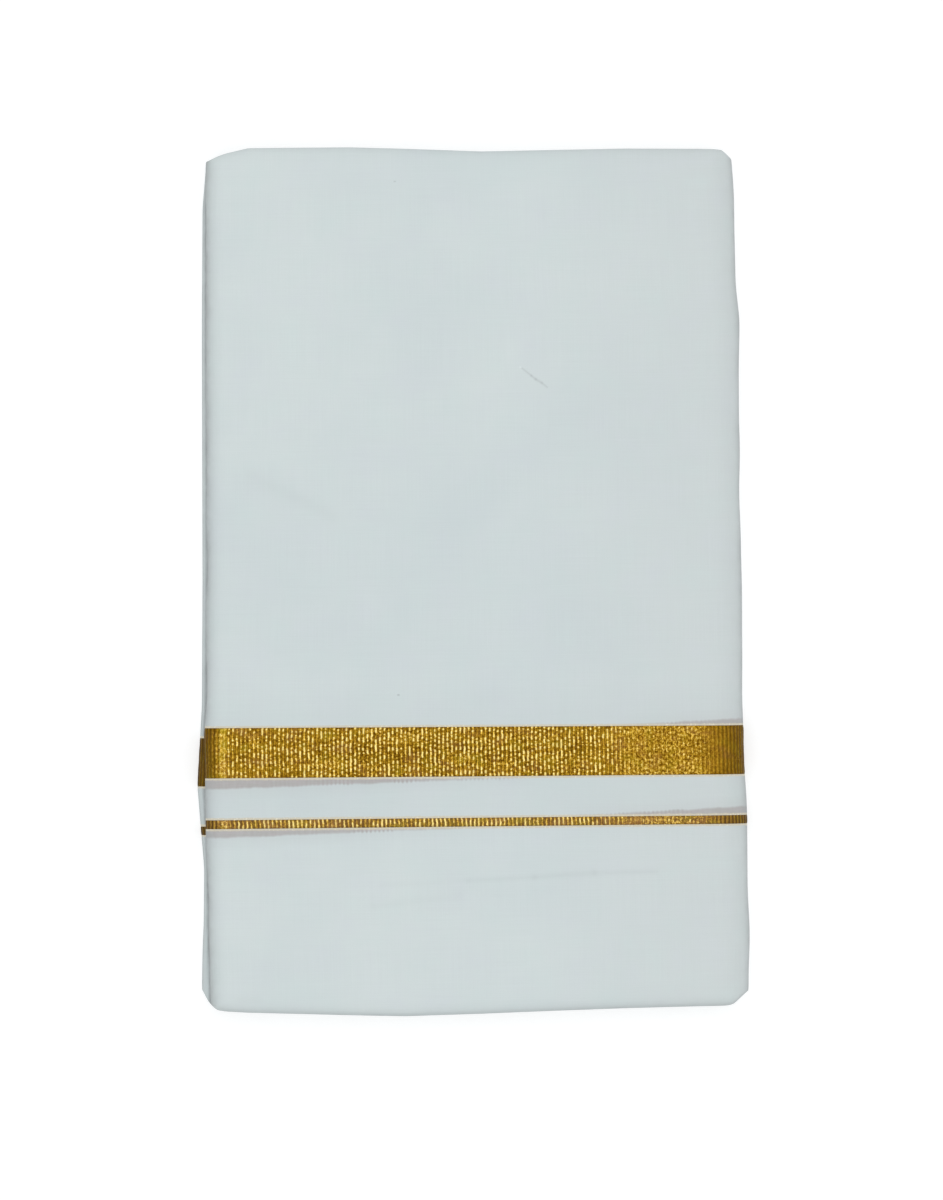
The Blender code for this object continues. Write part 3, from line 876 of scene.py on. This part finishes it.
def makeCotton(name, look, shading=None):
    # plain cotton, or with the painted shade, slivers and marks that the front has
    material, tree, shader, u, v = startMaterial(name)
    # the threads wander a little, so they never lie in an exact grid
    wanderU = (noiseOf(tree, u * 0.25, v * 0.02, 51.0) - 0.5) * look["wander"]
    wanderV = (noiseOf(tree, u * 0.02, v * 0.25, 57.0) - 0.5) * look["wander"]
    weave = plainWeave(u + wanderU, v + wanderV, look["thread"])
    slubs = noiseOf(tree, u * 0.03, v * 2.2, 0.0, 3.0) + noiseOf(tree, u * 2.2, v * 0.03, 7.0, 3.0)
    clouds = noiseOf(tree, u * 0.016, v * 0.016, 3.0, 3.0, 0.55)
    mottle = noiseOf(tree, u * 0.05, v * 0.05, 41.0, 3.0, 0.6)
    cloudiness = (clouds - 0.40) * look["clouding"] + look["clouded"]
    # painted shade: greyer towards the right, away from the light, and greyest in a broad band above the gold
    if shading:
        front = ((u * -1 + shading["end"]) * shading["endFade"]).clamped()
        above = v - shading["middle"]
        greyer = (above * above * shading["middleFade"] + 1).clamped() * shading["middleShare"]
        greyer = greyer + (u * shading["rightShare"] - shading["rightFrom"])
        cloudiness = cloudiness + greyer * front
    colour = mixColours(tree, cloudiness, look["colour"], look["cloud"])
    # painted shade: a greyer tone towards the right
    if shading:
        colour = mixColours(tree, (u - shading["greyFrom"]) * shading["greyShare"] * front, colour, look["grey"])
    colour = mixColours(tree, (mottle - 0.5) * look["tinting"], colour, look["green"])
    colour = mixColours(tree, (mottle * -1 + 0.5) * look["tinting"], colour, look["mauve"])
    colour = shadedBy(tree, (slubs - 1.0) * look["slubShade"] + weave * look["weaveShade"] + 0.975, colour)
    if shading:
        # painted shade round the two stripes
        aroundStripes = within(v, *shading["stripesPlace"], 16) * front * shading["stripesShade"]
        colour = mixColours(tree, aroundStripes, colour, look["soilAndShade"])
        streaks = noiseOf(tree, u * 0.09, v * 1.1, 87.0, 2.0, 0.6)
        shadow = mixColours(tree, (streaks - 0.42) * 4, look["shadow"], look["shadowPink"])
        for sliver in slivers:
            colour = mixColours(tree, sliverMask(tree, u, v, sliver) * front, colour, shadow)
        # painted shade along the creases and a painted highlight beside the short one, with the grey patch,
        # the specks and the corner dust
        for mark in marks.values():
            tone = look["soilAndShade"] if mark[3] > 0 else look["light"]
            colour = mixColours(tree, markMask(u, v, mark).maths("ABSOLUTE"), colour, tone)
    # painted shade along the folds, in the crevice and at the ends, with some soil, made uneven in blotches
    blotches = noiseOf(tree, u * 0.11, v * 0.11, 21.0, 3.0, 0.6) + 0.5
    colour = mixColours(tree, attributeOf(tree, "wear") * blotches, colour, look["soilAndShade"])
    # the cream threads along the gold's edges, with a fleck of its white core here and there
    uneven = (noiseOf(tree, u * 0.35, v * 0.1, 5.0, 3.0, 0.6) - 0.5) * 0.9
    edges = within(v + uneven, *look["edges"][0], 0.5)
    for low, high in look["edges"][1:]:
        edges = edges.maths("MAXIMUM", within(v + uneven, low, high, 0.5))
    flecks = noiseOf(tree, u * 1.1, v * 0.9, 6.0, 2.0, 0.6)
    thread = mixColours(tree, (flecks - 0.56) * 7, look["hairline"], look["fleck"])
    colour = mixColours(tree, edges * look["edgeShare"], colour, thread)
    tree.links.new(colour, shader.inputs["Base Color"])
    roughness = slubs * look["roughnessSpread"] + (look["roughness"] - look["roughnessSpread"])
    tree.links.new(roughness.socket, shader.inputs["Roughness"])
    shader.inputs["Sheen Weight"].default_value = look["sheen"]
    shader.inputs["Sheen Roughness"].default_value = look["sheenRoughness"]
    shader.inputs["Specular IOR Level"].default_value = look["specular"]
    addBump(tree, shader, weave + slubs * 0.4, look["bump"] * mm, look["bumpStrength"])
    return material


zariLook = dict(
    # from the bottom of the ribs to their brightest flashes, which are painted glints, and where each tone
    # lies in between
    deep=(0.11, 0.045, 0.001, 1),
    brown=(0.28, 0.140, 0.005, 1),
    amber=(0.49, 0.272, 0.018, 1),
    bright=(0.87, 0.56, 0.080, 1),
    pale=(1.0, 0.78, 0.26, 1),
    stops=((0.08, "deep"), (0.30, "brown"), (0.55, "amber"), (0.80, "bright"), (0.97, "pale")),
    olive=(0.40, 0.29, 0.012, 1),  # tints that drift along it
    rose=(0.36, 0.17, 0.045, 1),
    faded=(0.70, 0.50, 0.28, 1),  # on the thin line
    turnedAwayShade=(0.17, 0.074, 0.012, 1),  # painted shade where the last fold turns away
    foldShade=(0.07, 0.040, 0.012, 1),  # painted shade along the folds and ends, darkest on the fold beneath
    thinLine=(-49, -43),  # the thin line's place up the cloth
    # places along the cloth: where the left fold starts to turn over and catches the light, painted as a
    # highlight, where fine painted glitter hides the ribs, where the painted flashes stop, and where the band
    # has the most contrast
    litStretch=(-123.3, -119.3),
    fineStretch=(71, 119),
    calmStretch=(112, 160),
    richStretch=(-80, 50),
    roughness=0.38,
    roughnessSpread=0.15,
    metallic=0.85,
    specular=0.1,
    bump=0.16,
    bumpStrength=0.8,
)


def makeZari(name, look):
    material, tree, shader, u, v = startMaterial(name)
    wobble = noiseOf(tree, u * 0.12, v * 0.35, 11.0) - 0.5
    ribs = u * (1 / gold["pitch"]) + wobble * 0.55
    rib = ribs.maths("ROUND")
    crest = ((ribs * (2 * math.pi)).maths("COSINE") * 0.8 + 0.55).clamped()
    thin = within(v, *look["thinLine"], 1)
    # painted glints: flashes along each rib, which run right across the thin line
    dash = noiseOf(tree, rib * 5.37, v * (thin * -0.42 + 0.62), 2.0, 1.0)
    dash = ((dash - 0.43) * 6.0).clamped()
    grain = noiseOf(tree, u * 0.85, v * 0.75, 13.0, 2.0, 0.6)
    spark = noiseOf(tree, u * 2.6, v * 2.2, 9.0, 2.0, 0.6)
    patches = noiseOf(tree, u * 0.07, v * 0.12, 15.0)
    # a painted highlight where the left fold turns over
    lit = within(u, *look["litStretch"], 1.5)
    # the glitter hides the ribs in small patches elsewhere too
    broken = ((noiseOf(tree, u * 0.055, v * 0.09, 19.0) - 0.56) * 7).clamped() * 0.8
    fine = within(u, *look["fineStretch"], 16).maths("MAXIMUM", lit).maths("MAXIMUM", broken)
    turned = attributeOf(tree, "turned")
    # where the last fold turns away the painted flashes stop and a painted shade darkens it
    calm = within(u, *look["calmStretch"], 8).maths("MAXIMUM", (turned * 2.2).clamped())
    ribbing = fine * -0.65 + 1
    flash = calm * -0.8 + 1
    # painted glints: glitter all over the gold
    glitter = ((spark - 0.5) * 0.9 + (grain - 0.5) * 0.9) * (flash + fine)
    dashes = dash * flash * (thin * -0.2 + 0.58) + thin * 0.12
    level = crest * (dashes + 0.15) * ribbing + glitter + (patches - 0.5) * 0.3
    level = level + fine * 0.08 + lit * 0.14 - thin * 0.06 + 0.29
    contrast = thin * 0.60 + within(u, *look["richStretch"], 50) * 0.28 + 0.1
    level = level + (level - 0.52) * contrast
    ramp = tree.nodes.new("ShaderNodeValToRGB")
    while len(ramp.color_ramp.elements) < len(look["stops"]):
        ramp.color_ramp.elements.new(0.5)
    for element, (place, tone) in zip(ramp.color_ramp.elements, look["stops"]):
        element.position = place
        element.color = look[tone]
    tree.links.new(level.socket, ramp.inputs[0])
    tint = noiseOf(tree, u * 0.12, v * 0.16, 31.0)
    colour = mixColours(tree, (tint - 0.54) * 2.0 + lit * 0.35, ramp.outputs[0], look["olive"])
    colour = mixColours(tree, (tint * -1 + 0.46) * 2.0 + thin * 0.2, colour, look["rose"])
    colour = mixColours(tree, thin * 0.08, colour, look["faded"])
    # painted shade where the last fold turns away
    colour = mixColours(tree, calm * (turned * -1 + 1) * 0.24, colour, look["turnedAwayShade"])
    under = (u - 300).clamped() * turned * 0.39  # painted shade, darkest on the fold beneath
    # painted shade on the gold along the folds and at the ends
    colour = mixColours(tree, attributeOf(tree, "wear") * 0.42 + under, colour, look["foldShade"])
    tree.links.new(colour, shader.inputs["Base Color"])
    roughness = spark * (2 * look["roughnessSpread"]) + (look["roughness"] - look["roughnessSpread"])
    tree.links.new(roughness.socket, shader.inputs["Roughness"])
    shader.inputs["Metallic"].default_value = look["metallic"]
    shader.inputs["Specular IOR Level"].default_value = look["specular"]
    relief = crest * ribbing * 0.8 + dash * crest * ribbing * flash * 0.5 + spark * 0.7 + grain * 0.5
    addBump(tree, shader, relief, look["bump"] * mm, look["bumpStrength"])
    return material


cottonMarked = makeCotton("cottonFront", cottonLook, frontShading)
cottonPlain = makeCotton("cotton", cottonLook)
zari = makeZari("zari", zariLook)
print("materials made")


def alignedStart(points, lines, bandRow):
    # what to count the threads from, so that they match the packet's own X across the front
    edge = points[:, bandRow]
    middle = np.argmin(np.abs(edge[:, 0]) + 1e3 * (edge[:, 2] < 20))
    return edge[middle, 0] - lines[middle, bandRow, 0]


def makeStripe(side, stripe, makePath, relief, startU):
    # a stripe of gold in its bed, counted in the same threads as its leaf
    stations = makePath(gold["step"], gold["step"] * 1.05)
    rows = stripeRows(stripe)
    topRow = len(rows) - 3
    bandEdge = [Row(4, 0, 1, 0), Row(stripe["high"], 0, 1, 0)]
    lines = threadLines(stations, rows, startU, topRow)
    lines[..., 0] = threadLines(stations, bandEdge, startU, 0)[:, :1, 0]
    lines[..., 1] -= stripe["below"]
    leaf = layOut(stations, rows, relief)._replace(lines=lines)
    piece = clothMesh(side + "Zari" + stripe["name"], [ribbed(leaf, stations, rows)], zari)
    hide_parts(f"{side}_zari_{stripe['name'].lower()}")
    return piece


def makeOuterLeaf(side, makePath, step, relief, material, startU=None):
    # the front or the back leaf and its gold, and how far along the cloth it ends
    stations = makePath(step, outerLeaf["foldStep"])
    rows, bandRow = outerRows()
    leaf = layOut(stations, rows, relief)
    lines = threadLines(stations, rows, 0.0, bandRow)
    if startU is None:
        startU = alignedStart(leaf.points, lines, bandRow)
    lines[..., 0] += startU
    cloth = clothMesh(side + "Leaf", [leaf._replace(lines=lines)], material)
    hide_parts(side + "_leaf")
    woven = [makeStripe(side, stripe, makePath, relief, startU) for stripe in stripes]
    endU = lines[-1, bandRow, 0]
    flat = ((endU - lines[0, bandRow, 0]) * mm, packet["flatHeight"] * mm)
    print(side, "leaf:", len(cloth.data.polygons), "faces, flat", [round(x, 3) for x in flat])
    return endU


def makeInnerLeaves():
    # the hidden leaves are one run of cloth, and the loose leaf that closes the packet's middle
    rows, bandRow = innerRows()
    parts = []
    for order in (innerLeaves["order"], innerLeaves["loose"]):
        stations, on = innerPath(order)
        if len(order) == 1:
            stations = [s._replace(nz=-s.nz) for s in reversed(stations)]
        leaf = layOut(stations, rows)
        lines = threadLines(stations, rows, 0.0, bandRow)
        parts.append(leaf._replace(points=drawBackEnds(leaf.points, on, rows), lines=lines))
    inner = clothMesh("innerLeaves", parts, cottonPlain)
    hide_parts("inner_leaves")


frontEnd = makeOuterLeaf("front", frontPath, outerLeaf["frontStep"], frontRelief, cottonMarked)
makeOuterLeaf("back", backPath, outerLeaf["backStep"], backRelief, cottonPlain, frontEnd)
makeInnerLeaves()

# the floor, the light and the camera, in metres
studio = dict(
    floorSize=8,
    floorColour=(0.5, 0.5, 0.5, 1),
    floorGlow=0.60,
    glowReach=0.004,  # how near the floor its glow still shows in the gold
    sky=(0.97, 0.985, 1, 1),
    fill=0.75,  # how bright the surroundings are, and how bright in reflections
    glossyFill=0.5,
    softbox=2.0,
    softboxHeight=2.5,
    softboxShift=(0.05, 0.1),
    softboxPower=16.3,
    cameraHeight=6.0,
    aim=(-0.0007, -0.0087),
    frameHeight=0.5826,  # how much the camera takes in, and at what height
    frameLevel=0.020,
)


def makeFloor():
    bpy.ops.mesh.primitive_plane_add(size=studio["floorSize"], location=(0, 0, -0.0001))
    floor = bpy.context.object
    floor.name = "floor"
    material = bpy.data.materials.new("floor")
    material.use_nodes = True
    material.cycles.emission_sampling = "NONE"  # its glow is even, so it needs no sampling of its own
    tree = material.node_tree
    shader = tree.nodes["Principled BSDF"]
    shader.inputs["Base Color"].default_value = studio["floorColour"]
    shader.inputs["Roughness"].default_value = 0.9
    shader.inputs["Specular IOR Level"].default_value = 0.1
    shader.inputs["Emission Color"].default_value = (1, 1, 1, 1)
    # gloss doesn't mirror the floor's own glow, other than right against the floor
    seen = tree.nodes.new("ShaderNodeLightPath")
    away = Wire(tree, seen.outputs["Ray Length"]).maths("GREATER_THAN", studio["glowReach"])
    glow = oneOrOther(tree, away * Wire(tree, seen.outputs["Is Glossy Ray"]), studio["floorGlow"], 0.0)
    tree.links.new(glow, shader.inputs["Emission Strength"])
    # clear from below, so that the underside can be looked at
    clear = tree.nodes.new("ShaderNodeBsdfTransparent")
    mix = tree.nodes.new("ShaderNodeMixShader")
    side = tree.nodes.new("ShaderNodeNewGeometry")
    tree.links.new(side.outputs["Backfacing"], mix.inputs[0])
    tree.links.new(shader.outputs[0], mix.inputs[1])
    tree.links.new(clear.outputs[0], mix.inputs[2])
    tree.links.new(mix.outputs[0], tree.nodes["Material Output"].inputs[0])
    floor.data.materials.append(material)
    floor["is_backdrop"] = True


def makeLight():
    world = bpy.data.worlds.new("studio")
    bpy.context.scene.world = world
    world.use_nodes = True
    tree = world.node_tree
    sky = tree.nodes["Background"]
    sky.inputs["Color"].default_value = studio["sky"]
    seen = tree.nodes.new("ShaderNodeLightPath")
    fill = oneOrOther(tree, seen.outputs["Is Glossy Ray"], studio["fill"], studio["glossyFill"])
    strength = oneOrOther(tree, seen.outputs["Is Camera Ray"], fill, 1.0)
    tree.links.new(strength, sky.inputs["Strength"])
    light = bpy.data.lights.new("softbox", "AREA")
    light.shape = "SQUARE"
    light.size = studio["softbox"]
    light.energy = studio["softboxPower"]
    box = bpy.data.objects.new("softbox", light)
    bpy.context.scene.collection.objects.link(box)
    box.location = (*studio["softboxShift"], studio["softboxHeight"])
    box.rotation_euler = box.location.to_track_quat("Z", "Y").to_euler()
    box.visible_camera = False


def makeCamera():
    data = bpy.data.cameras.new("camera")
    camera = bpy.data.objects.new("camera", data)
    bpy.context.scene.collection.objects.link(camera)
    data.sensor_width = 36
    data.lens = 36 * studio["cameraHeight"] / studio["frameHeight"]
    data.clip_end = 20
    camera.location = (*studio["aim"], studio["cameraHeight"] + studio["frameLevel"])
    bpy.context.scene.camera = camera


makeFloor()
makeLight()
makeCamera()
bpy.context.scene.view_settings.view_transform = "Standard"
bpy.context.scene.view_settings.look = "None"
print("floor, light and camera set")

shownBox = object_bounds()
shownSize, cadSize = ([round(b - a, 4) for a, b in zip(*box)] for box in (shownBox, cadBox))
print("size:", shownSize, "in the CAD's", cadSize)
